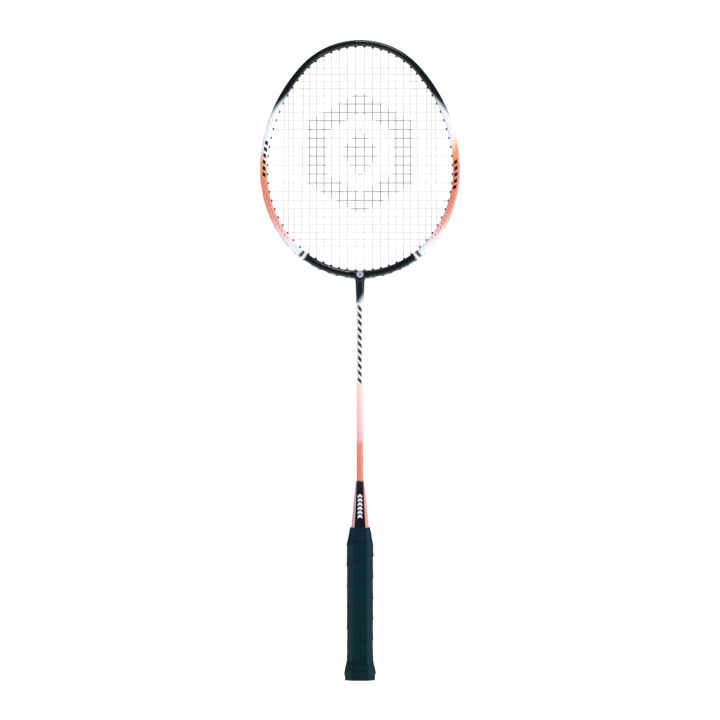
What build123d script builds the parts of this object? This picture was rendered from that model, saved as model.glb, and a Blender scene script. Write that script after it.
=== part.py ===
from build123d import *
import os
from math import acos, asin, atan2, cos, degrees, hypot, radians, sin, sqrt

# A badminton racket in millimetres. +Z runs from the butt to the head, +X across the head, and Y is
# normal to the string bed, with the front at -Y. The origin is the centre of the butt's end face.

os.makedirs("parts", exist_ok=True)

# ---- Driving dimensions --------------------------------------------------------------------------
overall_length = 675.0

# The hoop is a hollow tube bent to an egg shape, a little wider in the rim at its base.
hoop_width = 210.4
hoop_height = 251.0
hoop_widest_height = 113.2  # from the hoop's base up to its widest point
hoop_depth = 9.6  # along Y
crown_roundness = 0.81  # 1 makes an end as pointed as an ellipse's, and 0 as blunt as its width allows
base_roundness = 0.56
rim_crown = 6.4  # the rim's width in the plane of the strings, at three places
rim_side = 7.0
rim_base = 7.6
rim_edge_radius = 2.6
tube_wall = 0.9
cavity_edge_radius = 1.2
groove_width = 4.2  # the string groove round the outside, which fades towards the base
groove_crown = 2.0
groove_side = 1.2
groove_base = 0.2

# The strings: one for the mains, along Z, and one for the crosses, along X.
string_diameter = 0.7
layer_gap = 0.14  # between the mains, behind the plane Y = 0, and the crosses in front of it
mains_per_side = 11
cross_count = 23
main_edge_gap = 14.9  # from the outermost main to the rim, at the widest point
main_middle_share = 0.53  # half the gap between the two middle mains, over the next pitch
main_pitch_taper = 0.76  # outermost pitch over middle pitch
cross_crown_gap = 22.0  # from the first and last cross to the rim
cross_base_gap = 24.7
cross_pitch_taper = 0.70  # end pitch over widest pitch
cross_widest_place = 0.52  # where the pitch is widest, as a share of the way down
sharp_bend = 1.0  # radii of a string's bends: over a flange, at a slanting hole, and along the groove
slanting_bend = 1.5
slight_bend = 4.0
sharp_turn = 60.0  # the least degrees that each bend turns through
slanting_turn = 15.0
slight_turn = 0.5
shared_hole_gap = 5.0  # a main whose own hole would be nearer than this to a cross's shares it
main_tie_skip = 3  # holes from a string's last one to the one it is tied off at
cross_tie_skip = 2
tail_length = 5.5
knot_radius = 1.35
knot_length = 2.4

# Grommets
grommet_bore_clearance = 0.08  # round the two strings that share a bore
grommet_wall = 0.5
grommet_flange_radius = 1.8
grommet_flange_thickness = 0.8
grommet_flange_chamfer = 0.3
grommet_proud = 1.3  # how far a barrel stands out inside the hoop
grommet_tip_taper = 0.25
string_over_flange = 0.1
string_past_barrel = 0.5
throat_splay = 16.0  # degrees that the two holes beside the shaft lean outwards

# The throat joint: a saddle between the hoop's ends, tongues inside them and a stem for the shaft.
saddle_half_width = 10.5
saddle_swell = 0.4
tongue_reach = 27.0
stem_length = 26.0
stem_top_wall = 1.2
stem_end_wall = 0.45
shoulder_flare = 2.0
shoulder_height = 5.0
shoulder_hollow = 0.45  # how far the shoulder stands out from the stem halfway down it
socket_depth = 22.0
badge_radius = 3.6
badge_thickness = 0.6
badge_proud = 0.15
badge_edge_radius = 0.2
boss_rim = 0.4  # of the flat boss round the badge

# Shaft
shaft_diameter = 7.0
shaft_wall = 0.5
shaft_end_height = 63.0  # of its lower end, inside the handle

# Handle: an octagon of wood, wider than deep, that flares at the butt
handle_width = 25.0
handle_depth = 22.4
handle_bevel = 5.7
# The flare's heights above the butt cap, and how much wider and deeper the wood is at each
butt_flare = [(0.0, 4.4), (2.9, 5.4), (7.4, 4.1), (11.4, 2.0), (16.4, 0.6), (25.4, 0.0)]
core_top = 143.0
spigot_wall = 3.0
spigot_length = 22.0
hollow_radius = 6.0
hollow_top = 58.0

# Cone cap, from the wood up to the shaft
cone_top = 209.7
cone_top_lip = 0.9  # round the shaft
cone_middle = 185.0
cone_middle_width = 14.4
grip_top = 161.0
cone_width_at_grip = 18.3
cone_bevel_share = 0.18  # of the cone's width
cone_top_bevel = 0.9

# Butt cap and its plug in the hollow handle
cap_height = 4.6
cap_overhang = 1.25  # of its flats beyond the wood
cap_edge_radius = 1.2
cap_recess_radius = 9.0
cap_recess_depth = 0.8
plug_length = 7.0
plug_wall = 1.5

# Grip tape, and the staple that holds its first turn
tape_thickness = 1.4
staple_width = 9.0
staple_leg = 5.0
staple_wire = 0.6
staple_sink = 0.15

# Clearances
slip = 0.03  # between pieces that are pushed or bonded together
hole_slip = 0.05  # round a grommet's barrel

# ---- Heights that follow -------------------------------------------------------------------------
hoop_base = overall_length - hoop_height
widest_z = hoop_base + hoop_widest_height
string_radius = string_diameter / 2
lane_offset = string_radius + layer_gap / 2
grommet_bore_radius = lane_offset + string_radius + grommet_bore_clearance
grommet_barrel_radius = grommet_bore_radius + grommet_wall
shaft_radius = shaft_diameter / 2
spigot_radius = shaft_radius + spigot_wall
stem_top_radius = shaft_radius + stem_top_wall
stem_end_radius = shaft_radius + stem_end_wall
shoulder_radius = stem_top_radius + shoulder_flare
stem_bottom = hoop_base - stem_length
shaft_top = stem_bottom + socket_depth
drill_length = 2 * hoop_depth
cut_size = 3 * stem_length  # of the boxes that cut the pieces at the throat to length
plane_of_strings = Plane.XZ


# ---- The hoop's outlines -------------------------------------------------------------------------
class Egg:
    """An egg-shaped outline of tangent arcs in the XZ plane, inset from the hoop's outer edge."""

    def __init__(self, crown_inset=0.0, side_inset=0.0, base_inset=0.0):
        self.half_width = hoop_width / 2 - side_inset
        crown = self.end_arcs(overall_length - crown_inset - widest_z, crown_roundness)
        base = self.end_arcs(widest_z - hoop_base - base_inset, base_roundness)
        (self.crown_centre, self.crown_radius), (self.upper_centre, self.upper_radius), self.upper_turn = crown
        (self.base_centre, self.base_radius), (self.lower_centre, self.lower_radius), self.lower_turn = base
        # The right half as (centre x, centre z, radius, first angle, last angle), from base to crown
        self.arcs = [
            (0.0, widest_z - self.base_centre, self.base_radius, -90.0, -self.lower_turn),
            (self.lower_centre, widest_z, self.lower_radius, -self.lower_turn, 0.0),
            (self.upper_centre, widest_z, self.upper_radius, 0.0, self.upper_turn),
            (0.0, widest_z + self.crown_centre, self.crown_radius, self.upper_turn, 90.0),
        ]

    def end_arcs(self, reach, roundness):
        """The end arc, the side arc tangent to it and to the vertical at the widest point, and the turn."""
        half = self.half_width
        end_radius = half * (half / reach) ** roundness
        side_radius = (half**2 + reach**2 - 2 * reach * end_radius) / (2 * (half - end_radius))
        side_centre = half - side_radius
        end_centre = reach - end_radius
        sign = 1 if side_radius > end_radius else -1
        turn = degrees(atan2(sign * end_centre, -sign * side_centre))
        return (end_centre, end_radius), (side_centre, side_radius), turn

    def draw(self):
        """Draws the whole outline in the active line builder."""
        for side in (1, -1):
            for x, z, radius, first, last in self.arcs:
                if side == 1:
                    CenterArc((x, z), radius, first, last - first)
                else:
                    CenterArc((-x, z), radius, 180 - last, last - first)

    def at_height(self, z):
        """The right-hand point at a height, and the outward normal there."""
        for cx, cz, radius, first, last in self.arcs:
            if abs(z - cz) <= radius:
                angle = degrees(asin((z - cz) / radius))
                if first - 1e-9 <= angle <= last + 1e-9:
                    return (cx + radius * cos(radians(angle)), z), (cos(radians(angle)), sin(radians(angle)))
        raise ValueError("no point of the outline at that height")

    def at_offset(self, x, upper):
        """The crown or base point at a distance from the middle, and the outward normal there."""
        for cx, cz, radius, first, last in self.arcs:
            if abs(x - cx) <= radius:
                angle = degrees(acos((x - cx) / radius)) * (1 if upper else -1)
                if first - 1e-9 <= angle <= last + 1e-9:
                    return (x, cz + radius * sin(radians(angle))), (cos(radians(angle)), sin(radians(angle)))
        raise ValueError("no point of the outline at that offset")

    def reach(self, point, direction):
        """The distance from a point inside the outline to it, along a direction."""
        (px, pz), (dx, dz) = point, direction
        for cx, cz, radius, first, last in self.arcs:
            along = (px - cx) * dx + (pz - cz) * dz
            inside = along**2 - (px - cx) ** 2 - (pz - cz) ** 2 + radius**2
            if inside >= 0:
                distance = sqrt(inside) - along
                angle = degrees(atan2(pz + distance * dz - cz, px + distance * dx - cx))
                if first - slight_turn <= angle <= last + slight_turn:
                    return distance
        raise ValueError("the direction misses the outline")


outer_edge = Egg()
inner_edge = Egg(rim_crown, rim_side, rim_base)
groove_floor = Egg(groove_crown, groove_side, groove_base)
cavity_outer = Egg(groove_crown + tube_wall, groove_side + tube_wall, groove_base + tube_wall)
cavity_inner = Egg(rim_crown - tube_wall, rim_side - tube_wall, rim_base - tube_wall)


def ring(outer, inner, depth, edge_radius=0.0):
    """A flat ring between two outlines, centred on the plane of the strings."""
    with BuildPart() as made:
        with BuildSketch(plane_of_strings):
            for outline, mode in ((outer, Mode.ADD), (inner, Mode.SUBTRACT)):
                with BuildLine():
                    outline.draw()
                make_face(mode=mode)
        extrude(amount=depth / 2, both=True)
        if edge_radius:
            fillet(made.faces().filter_by(Axis.Y).edges(), edge_radius)
    return made.part


# ---- Where the strings run, and the holes they pass through ---------------------------------------
def spaced(count, first_weight, weight):
    """Running totals of count spaces, the first of them first_weight and the rest weight(share)."""
    totals = [first_weight]
    for n in range(1, count):
        totals.append(totals[-1] + weight((n - 0.5) / (count - 1)))
    return totals


main_totals = spaced(mains_per_side, main_middle_share, lambda share: 1 - (1 - main_pitch_taper) * share)
outermost_main = inner_edge.half_width - main_edge_gap
main_offsets = [outermost_main * total / main_totals[-1] for total in main_totals]

cross_top = overall_length - rim_crown - cross_crown_gap
cross_bottom = hoop_base + rim_base + cross_base_gap
cross_totals = spaced(
    cross_count, 0.0, lambda share: 1 - (1 - cross_pitch_taper) * (2 * (share - cross_widest_place)) ** 2
)
cross_heights = [cross_top - (cross_top - cross_bottom) * total / cross_totals[-1] for total in cross_totals]


class Hole:
    """A string hole through the right side of the rim, along an axis that points outwards."""

    def __init__(self, point, axis):
        self.point = point
        self.axis = axis
        self.floor = groove_floor.reach(point, axis)
        self.turn = atan2(point[1] - widest_z, point[0])  # its place round the hoop

    def at(self, distance, side=1):
        """The point on the axis at a distance outwards from the rim's inner face."""
        return side * (self.point[0] + distance * self.axis[0]), self.point[1] + distance * self.axis[1]

    def mouth(self, side):
        """Where a string bends as it leaves the barrel inside the hoop."""
        return self.at(-grommet_proud - string_past_barrel, side)

    def lane(self, side):
        """Where a string turns into the groove, clear above the flange."""
        flange_top = self.floor + slip + grommet_flange_thickness
        return self.at(flange_top + string_over_flange + string_radius, side)

    def plane(self, side):
        """A plane at the inner face, with the hole's axis as its X direction and -Y as its normal."""
        x, z = self.at(0, side)
        return Plane(origin=(x, 0, z), x_dir=(side * self.axis[0], 0, self.axis[1]), z_dir=(0, -1, 0))

    def drill(self, side):
        """A plane at the inner face that looks along the hole's axis."""
        x, z = self.at(0, side)
        return Plane(origin=(x, 0, z), z_dir=(side * self.axis[0], 0, self.axis[1]))


cross_holes = [Hole(*inner_edge.at_height(z)) for z in cross_heights]


def main_hole(number, upper):
    """The hole that a main ends at: the nearest cross's, or its own if none is near."""
    point, axis = inner_edge.at_offset(main_offsets[number], upper)
    if number == 0 and not upper:
        axis = (sin(radians(throat_splay)), -cos(radians(throat_splay)))
    nearest = min(cross_holes, key=lambda hole: hypot(hole.point[0] - point[0], hole.point[1] - point[1]))
    if hypot(nearest.point[0] - point[0], nearest.point[1] - point[1]) < shared_hole_gap:
        return nearest
    return Hole(point, axis)


crown_holes = [main_hole(number, True) for number in range(mains_per_side)]
base_holes = [main_hole(number, False) for number in range(mains_per_side)]
own_crown_holes = [hole for hole in crown_holes if hole not in cross_holes]
own_base_holes = [hole for hole in base_holes if hole not in cross_holes]
all_holes = sorted(own_crown_holes + cross_holes + own_base_holes, key=lambda hole: -hole.turn)


def along_groove(first, last):
    """The holes from one to another round the rim, both included."""
    a, b = all_holes.index(first), all_holes.index(last)
    return all_holes[a : b + 1] if a <= b else all_holes[b : a + 1][::-1]


def tail_point(mouth, towards):
    """The end of a tied-off string, beside the string it is tied to."""
    length = hypot(towards[0] - mouth[0], towards[1] - mouth[1])
    share = tail_length / length
    return mouth[0] + share * (towards[0] - mouth[0]), mouth[1] + share * (towards[1] - mouth[1])


def right_half_of_mains():
    """The mains' route from the crown's middle to the tail that is tied off on the right."""
    route = []
    for number in range(mains_per_side):
        ends = (crown_holes[number], base_holes[number])
        start, end = ends if number % 2 == 0 else ends[::-1]
        route += [start.lane(1), start.mouth(1), end.mouth(1), end.lane(1)]
        if number < mains_per_side - 1:
            following = base_holes[number + 1] if number % 2 == 0 else crown_holes[number + 1]
            route += [hole.lane(1) for hole in along_groove(end, following)[1:-1]]
    last = base_holes[-1] if mains_per_side % 2 else crown_holes[-1]
    step = -1 if mains_per_side % 2 else 1
    tie = all_holes[all_holes.index(last) + step * main_tie_skip]
    route += [hole.lane(1) for hole in along_groove(last, tie)[1:]]
    route += [tie.mouth(1), tail_point(tie.mouth(1), tie.mouth(-1))]
    return route


def crosses():
    """The crosses' route from the tail at the crown's left to the tail at the base."""
    first_tie = all_holes[all_holes.index(cross_holes[0]) - cross_tie_skip]
    last_tie = all_holes[all_holes.index(cross_holes[-1]) + cross_tie_skip]
    tied_main = base_holes[crown_holes.index(first_tie)]
    route = [tail_point(first_tie.mouth(-1), tied_main.mouth(-1)), first_tie.mouth(-1)]
    route += [hole.lane(-1) for hole in along_groove(first_tie, cross_holes[0])[:-1]]
    side = -1
    for hole in cross_holes:
        route += [hole.lane(side), hole.mouth(side), hole.mouth(-side), hole.lane(-side)]
        side = -side
    route += [hole.lane(side) for hole in along_groove(cross_holes[-1], last_tie)[1:]]
    tied_main = crown_holes[base_holes.index(last_tie)]
    route += [last_tie.mouth(side), tail_point(last_tie.mouth(side), tied_main.mouth(side))]
    return route


main_half = right_half_of_mains()
main_route = [(-x, z) for x, z in main_half[::-1]] + main_half
cross_route = crosses()


def string_along(route, y):
    """A string swept along straight runs joined by tangent arcs, in a plane parallel to the string bed."""
    # A point that hardly turns the route is left out, because it has no arc.
    kept = [route[0]]
    radii = []
    for before, here, after in zip(route, route[1:], route[2:]):
        turn = Vector(here[0] - kept[-1][0], here[1] - kept[-1][1]).get_angle(
            Vector(after[0] - here[0], after[1] - here[1])
        )
        if turn < slight_turn:
            continue
        kept.append(here)
        radii.append(sharp_bend if turn > sharp_turn else slanting_bend if turn > slanting_turn else slight_bend)
    kept.append(route[-1])
    lane = plane_of_strings.offset(-y)
    points = [lane.from_local_coords(Vector(x, z)) for x, z in kept]
    with BuildPart() as made:
        with BuildLine() as path:
            FilletPolyline(*points, radius=radii)
        with BuildSketch(Plane(origin=path.line @ 0, z_dir=path.line % 0)):
            Circle(string_radius)
        sweep()
    return made.part


# ---- Head frame: a bent tube, open at the throat, with a string groove and drilled for grommets ----
frame_blank = ring(outer_edge, inner_edge, hoop_depth, rim_edge_radius)
frame_cavity = ring(cavity_outer, cavity_inner, hoop_depth - 2 * tube_wall, cavity_edge_radius)
beyond_hoop = Egg(-rim_base, -rim_base, -rim_base)
string_groove = ring(beyond_hoop, groove_floor, groove_width)

with BuildPart() as drilling:
    for side in (1, -1):
        for hole in all_holes:
            with Locations(hole.drill(side)):
                Cylinder(grommet_barrel_radius + hole_slip, drill_length)

with BuildPart() as head_frame:
    add(frame_blank)
    add(frame_cavity, mode=Mode.SUBTRACT)
    add(string_groove, mode=Mode.SUBTRACT)
    with Locations((0, 0, hoop_base)):
        Box(2 * saddle_half_width, cut_size, cut_size, mode=Mode.SUBTRACT)
    add(drilling.part, mode=Mode.SUBTRACT)
head_frame.part.label = "head_frame"
export_step(head_frame.part, "parts/head_frame.step")

# ---- Throat joint --------------------------------------------------------------------------------
swollen_outer = Egg(-saddle_swell, -saddle_swell, -saddle_swell)
swollen_inner = Egg(rim_crown, rim_side, rim_base + saddle_swell / 2)
saddle_blank = ring(swollen_outer, swollen_inner, hoop_depth + 2 * saddle_swell, rim_edge_radius)
tongue_blank = ring(
    Egg(groove_crown + tube_wall + slip, groove_side + tube_wall + slip, groove_base + tube_wall + slip),
    Egg(rim_crown - tube_wall - slip, rim_side - tube_wall - slip, rim_base - tube_wall - slip),
    hoop_depth - 2 * tube_wall - 2 * slip,
    cavity_edge_radius,
)
throat_holes = [base_holes[0]]
badge_height = hoop_base + rim_base / 2

with BuildPart() as throat_joint:
    with BuildSketch(plane_of_strings):
        with BuildLine():
            stem_top = hoop_base - shoulder_height
            Polyline(
                (stem_top_radius, stem_top),
                (stem_end_radius, stem_bottom),
                (0, stem_bottom),
                (0, badge_height),
                (shoulder_radius, badge_height),
                (shoulder_radius, hoop_base),
            )
            ThreePointArc(
                (shoulder_radius, hoop_base),
                (stem_top_radius + shoulder_hollow, hoop_base - shoulder_height / 2),
                (stem_top_radius, stem_top),
            )
        make_face()
    revolve(axis=Axis.Z)
    with Locations((0, 0, hoop_base)):
        Box(cut_size, hoop_depth + 2 * saddle_swell, cut_size, mode=Mode.INTERSECT)
    with BuildSketch(Plane.XY.offset(stem_bottom)):
        Circle(shaft_radius + slip)
    extrude(amount=socket_depth + slip, mode=Mode.SUBTRACT)

with BuildPart() as saddle:
    add(saddle_blank)
    with Locations((0, 0, hoop_base)):
        Box(2 * saddle_half_width, cut_size, cut_size, mode=Mode.INTERSECT)
    with BuildSketch(plane_of_strings):
        with Locations((0, badge_height)):
            Circle(badge_radius + boss_rim)
    extrude(amount=hoop_depth / 2 + saddle_swell, both=True)

with BuildPart() as tongues:
    add(tongue_blank)
    with Locations((0, 0, hoop_base)):
        Box(2 * tongue_reach, cut_size, cut_size, mode=Mode.INTERSECT)

with BuildPart() as throat_joint_drilled:
    add(throat_joint.part)
    add(saddle.part)
    add(tongues.part)
    for side in (1, -1):
        for hole in all_holes:
            if hole.point[1] < widest_z and hole.point[0] < tongue_reach + 2 * grommet_flange_radius:
                with Locations(hole.drill(side)):
                    Cylinder(grommet_barrel_radius + hole_slip, drill_length, mode=Mode.SUBTRACT)
        for hole in throat_holes:
            with BuildSketch(hole.drill(side).offset(hole.floor)):
                Circle(grommet_flange_radius + 2 * hole_slip)
            extrude(amount=2 * rim_base, mode=Mode.SUBTRACT)
    with BuildSketch(plane_of_strings.offset(hoop_depth / 2 + saddle_swell)):
        with Locations((0, badge_height)):
            Circle(badge_radius + slip)
    extrude(amount=-(badge_thickness - badge_proud), mode=Mode.SUBTRACT)
throat_joint_drilled.part.label = "throat_joint"
export_step(throat_joint_drilled.part, "parts/throat_joint.step")

with BuildPart() as throat_badge:
    with BuildSketch(plane_of_strings.offset(hoop_depth / 2 + saddle_swell + badge_proud)):
        with Locations((0, badge_height)):
            Circle(badge_radius)
    extrude(amount=-badge_thickness)
    fillet(throat_badge.faces().sort_by(Axis.Y)[0].edges(), badge_edge_radius)
throat_badge.part.label = "throat_badge"
export_step(throat_badge.part, "parts/throat_badge.step")

# ---- Shaft: a straight tube, bonded in the throat joint and in the handle --------------------------
with BuildPart() as shaft:
    with BuildSketch(Plane.XY.offset(shaft_end_height)):
        Circle(shaft_radius)
        Circle(shaft_radius - shaft_wall, mode=Mode.SUBTRACT)
    extrude(amount=shaft_top - shaft_end_height)
shaft.part.label = "shaft"
export_step(shaft.part, "parts/shaft.step")


# ---- Handle --------------------------------------------------------------------------------------
def octagon(width, depth, bevel, grow=0.0):
    """Draws an octagon in the active sketch, with every flat moved outwards by grow."""
    Rectangle(width + 2 * grow, depth + 2 * grow)
    chamfer(vertices(), bevel + grow * (2 - sqrt(2)))


def octagon_loft(sections, grow=0.0):
    """A loft of straight facets through (height, width, depth, bevel) sections."""
    with BuildPart() as made:
        for height, width, depth, bevel in sections:
            with BuildSketch(Plane.XY.offset(height)):
                octagon(width, depth, bevel, grow)
        loft(ruled=True)
    return made.part


bevel_share = handle_bevel / handle_width
core_sections = [
    (cap_height + rise, handle_width + flare, handle_depth + flare, bevel_share * (handle_width + flare))
    for rise, flare in butt_flare
]
core_sections.append((core_top, handle_width, handle_depth, handle_bevel))


def cone_section(height, width):
    return height, width, width * handle_depth / handle_width, width * cone_bevel_share


cone_top_width = shaft_diameter + 2 * cone_top_lip
cone_at_grip = cone_section(grip_top, cone_width_at_grip)
cone_sections = [
    core_sections[-1],
    cone_at_grip,
    cone_section(cone_middle, cone_middle_width),
    (cone_top, cone_top_width, cone_top_width, cone_top_bevel),
]
core_body = octagon_loft(core_sections)
cone_body = octagon_loft(cone_sections)
under_grip = core_sections + [cone_at_grip]
grip_outside = octagon_loft(under_grip, tape_thickness)
grip_inside = octagon_loft(under_grip)

# The staple's crown lies in the back of the wood, where the flare starts to narrow.
staple_slot = staple_wire + 2 * slip
staple_height = core_sections[2][0]
flare_back = core_sections[2][2] / 2 - staple_sink
with BuildPart() as grip_staple:
    with BuildSketch(Plane.XY.offset(staple_height - staple_wire / 2)):
        with Locations((0, flare_back - staple_leg / 2)):
            Rectangle(staple_width, staple_leg)
        with Locations((0, flare_back - staple_leg / 2 - staple_wire)):
            Rectangle(staple_width - 2 * staple_wire, staple_leg, mode=Mode.SUBTRACT)
    extrude(amount=staple_wire)
grip_staple.part.label = "grip_staple"
export_step(grip_staple.part, "parts/grip_staple.step")

with BuildPart() as handle_core:
    add(core_body)
    with BuildSketch(Plane.XY.offset(core_top)):
        Circle(spigot_radius)
    extrude(amount=spigot_length)
    with BuildSketch(Plane.XY.offset(cap_height)):
        Circle(hollow_radius)
    extrude(amount=hollow_top - cap_height, mode=Mode.SUBTRACT)
    with BuildSketch(Plane.XY.offset(hollow_top)):
        Circle(shaft_radius + slip)
    extrude(amount=core_top + spigot_length - hollow_top, mode=Mode.SUBTRACT)
    # The slot for the staple's crown, open at the back, and the two holes for its legs
    with BuildSketch(Plane.XY.offset(staple_height - staple_slot / 2)):
        with Locations((0, flare_back)):
            Rectangle(staple_width + 2 * slip, 2 * (staple_wire + slip))
        with Locations((-(staple_width - staple_wire) / 2, 0), ((staple_width - staple_wire) / 2, 0)):
            with Locations((0, flare_back - staple_leg / 2)):
                Rectangle(staple_slot, staple_leg + 2 * slip)
    extrude(amount=staple_slot, mode=Mode.SUBTRACT)
handle_core.part.label = "handle_core"
export_step(handle_core.part, "parts/handle_core.step")

with BuildPart() as cone_cap:
    add(cone_body)
    with BuildSketch(Plane.XY.offset(core_top)):
        Circle(spigot_radius + slip)
    extrude(amount=spigot_length + slip, mode=Mode.SUBTRACT)
    with BuildSketch(Plane.XY.offset(core_top)):
        Circle(shaft_radius + slip)
    extrude(amount=cone_top - core_top, mode=Mode.SUBTRACT)
cone_cap.part.label = "cone_cap"
export_step(cone_cap.part, "parts/cone_cap.step")

with BuildPart() as butt_cap:
    with BuildSketch():
        octagon(*core_sections[0][1:], cap_overhang)
    extrude(amount=cap_height)
    fillet(butt_cap.faces().sort_by(Axis.Z)[0].edges(), cap_edge_radius)
    with BuildSketch():
        Circle(cap_recess_radius)
    extrude(amount=cap_recess_depth, mode=Mode.SUBTRACT)
    with BuildSketch(Plane.XY.offset(cap_height)):
        Circle(hollow_radius - slip)
        Circle(hollow_radius - slip - plug_wall, mode=Mode.SUBTRACT)
    extrude(amount=plug_length)
butt_cap.part.label = "butt_cap"
export_step(butt_cap.part, "parts/butt_cap.step")

with BuildPart() as grip_tape:
    add(grip_outside)
    add(grip_inside, mode=Mode.SUBTRACT)
grip_tape.part.label = "grip_tape"
export_step(grip_tape.part, "parts/grip_tape.step")


# ---- Grommets: a flanged barrel in each string hole ------------------------------------------------
def grommets(name, holes, sides=(1, -1)):
    """A node of grommets, one solid for each hole and side."""
    with BuildPart() as made:
        for side in sides:
            for hole in holes:
                seat = hole.floor + slip
                rim = seat + grommet_flange_thickness
                with BuildSketch(hole.plane(side)):
                    with BuildLine():
                        Polyline(
                            (-grommet_proud, grommet_bore_radius),
                            (-grommet_proud, grommet_barrel_radius - grommet_tip_taper),
                            (-grommet_proud + 2 * grommet_tip_taper, grommet_barrel_radius),
                            (seat, grommet_barrel_radius),
                            (seat, grommet_flange_radius),
                            (rim - grommet_flange_chamfer, grommet_flange_radius),
                            (rim, grommet_bore_radius + grommet_flange_chamfer),
                            (rim, grommet_bore_radius),
                            close=True,
                        )
                    make_face()
                revolve(axis=Axis(hole.plane(side).origin, hole.plane(side).x_dir))
    made.part.label = name
    export_step(made.part, f"parts/{name}.step")


grommets("grommets_crown", own_crown_holes)
grommets("grommets_left", cross_holes, sides=(-1,))
grommets("grommets_right", cross_holes, sides=(1,))
grommets("grommets_base", [hole for hole in own_base_holes if hole not in throat_holes])
grommets("grommets_throat", throat_holes)

# ---- Strings, each one length threaded to and fro, and their knots ---------------------------------
main_string = string_along(main_route, lane_offset)
main_string.label = "main_string"
export_step(main_string, "parts/main_string.step")

cross_string = string_along(cross_route, -lane_offset)
cross_string.label = "cross_string"
export_step(cross_string, "parts/cross_string.step")


def knots(name, ends):
    """A node of knots, each tied round two strings side by side, near the end of one of them."""
    with BuildPart() as made:
        for mouth, tail in ends:
            along = Vector(tail[0] - mouth[0], 0, tail[1] - mouth[1]).normalized()
            middle = Vector(mouth[0], 0, mouth[1]) + along * (tail_length - knot_length)
            with BuildSketch(Plane(origin=middle - along * knot_length / 2, x_dir=(0, 1, 0), z_dir=along)):
                Circle(knot_radius)
                with Locations((lane_offset, 0), (-lane_offset, 0)):
                    Circle(string_radius + slip, mode=Mode.SUBTRACT)
            extrude(amount=knot_length)
    made.part.label = name
    export_step(made.part, f"parts/{name}.step")


knots("main_knots", [(main_route[1], main_route[0]), (main_route[-2], main_route[-1])])
knots("cross_knots", [(cross_route[1], cross_route[0]), (cross_route[-2], cross_route[-1])])
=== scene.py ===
from bisect import bisect_right
from math import atan2, cos, exp, pi, radians, sin, sqrt, tau

import bmesh
import bpy
from mathutils import Matrix, Vector
from mathutils.bvhtree import BVHTree


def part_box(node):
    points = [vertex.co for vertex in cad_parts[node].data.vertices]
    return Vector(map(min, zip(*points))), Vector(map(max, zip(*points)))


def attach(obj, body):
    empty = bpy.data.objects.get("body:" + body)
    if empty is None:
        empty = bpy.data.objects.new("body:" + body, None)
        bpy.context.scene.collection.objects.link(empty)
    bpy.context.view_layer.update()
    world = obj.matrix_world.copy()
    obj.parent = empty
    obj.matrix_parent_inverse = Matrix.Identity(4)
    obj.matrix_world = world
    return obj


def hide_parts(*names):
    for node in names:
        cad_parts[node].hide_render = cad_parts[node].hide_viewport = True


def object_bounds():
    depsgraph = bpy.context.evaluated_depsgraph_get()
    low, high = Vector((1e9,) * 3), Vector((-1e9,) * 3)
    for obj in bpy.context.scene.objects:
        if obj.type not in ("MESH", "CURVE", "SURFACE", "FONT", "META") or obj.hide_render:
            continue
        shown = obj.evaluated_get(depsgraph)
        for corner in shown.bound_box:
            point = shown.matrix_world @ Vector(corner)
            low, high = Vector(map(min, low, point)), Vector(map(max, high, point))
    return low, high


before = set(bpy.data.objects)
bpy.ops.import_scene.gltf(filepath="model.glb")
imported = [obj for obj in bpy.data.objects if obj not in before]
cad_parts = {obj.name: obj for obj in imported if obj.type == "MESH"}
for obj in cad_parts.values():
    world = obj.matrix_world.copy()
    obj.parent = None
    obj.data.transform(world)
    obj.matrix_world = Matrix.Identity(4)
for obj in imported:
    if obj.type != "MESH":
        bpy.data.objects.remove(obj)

for leftover in ("Cube", "Light", "Camera"):
    if leftover in bpy.data.objects:
        bpy.data.objects.remove(bpy.data.objects[leftover])

cad_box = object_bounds()

# ---- Camera --------------------------------------------------------------------------------------
# The racket is seen square on from the front through a long lens. It stands upright and fills
# most of the picture's height.
cad_low, cad_high = cad_box
racket_height = cad_high.z - cad_low.z
frame_fill = 0.8888
view_distance = 4.2
camera = bpy.data.objects.new("camera", bpy.data.cameras.new("camera"))
camera.data.sensor_width = 36.0
camera.data.lens = camera.data.sensor_width * view_distance * frame_fill / racket_height
camera.location = (0.0, -view_distance, (cad_low.z + cad_high.z) / 2)
camera.rotation_euler = (radians(90), 0.0, 0.0)
bpy.context.scene.collection.objects.link(camera)
bpy.context.scene.camera = camera

# ---- Studio --------------------------------------------------------------------------------------
# A pale round floor in a white room, lit by four soft boxes: one high in front, a large one at the
# right, a weaker one at the left, and one overhead that also lights the floor.
scene = bpy.context.scene
scene.view_settings.view_transform = "Standard"


def new_piece(name, shape):
    """An object made from a bmesh, which is used up."""
    mesh = bpy.data.meshes.new(name)
    shape.to_mesh(mesh)
    shape.free()
    piece = bpy.data.objects.new(name, mesh)
    scene.collection.objects.link(piece)
    return piece


def tint(red, green, blue):
    """A colour from its three screen values, 0 to 255, as shader sockets take it."""
    shares = (red / 255, green / 255, blue / 255)
    linear = [share / 12.92 if share <= 0.0405 else ((share + 0.055) / 1.055) ** 2.4 for share in shares]
    return (*linear, 1.0)


def new_finish(name, roughness, even=None):
    """A new finish; even holds the shader's values that are the same all over it."""
    finish = bpy.data.materials.new(name)
    finish.use_nodes = True
    shader = finish.node_tree.nodes["Principled BSDF"]
    shader.inputs["Roughness"].default_value = roughness
    for socket, value in (even or {}).items():
        shader.inputs[socket].default_value = value
    return finish


def connect(finish, node, sockets):
    """Gives each socket of a node a plain value or a field."""
    for socket, value in sockets.items():
        if isinstance(value, Field):
            finish.node_tree.links.new(value.output, node.inputs[socket])
        else:
            node.inputs[socket].default_value = value


def finish_with(finish, sockets):
    """Links fields to the finish's own shader."""
    connect(finish, finish.node_tree.nodes["Principled BSDF"], sockets)


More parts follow.
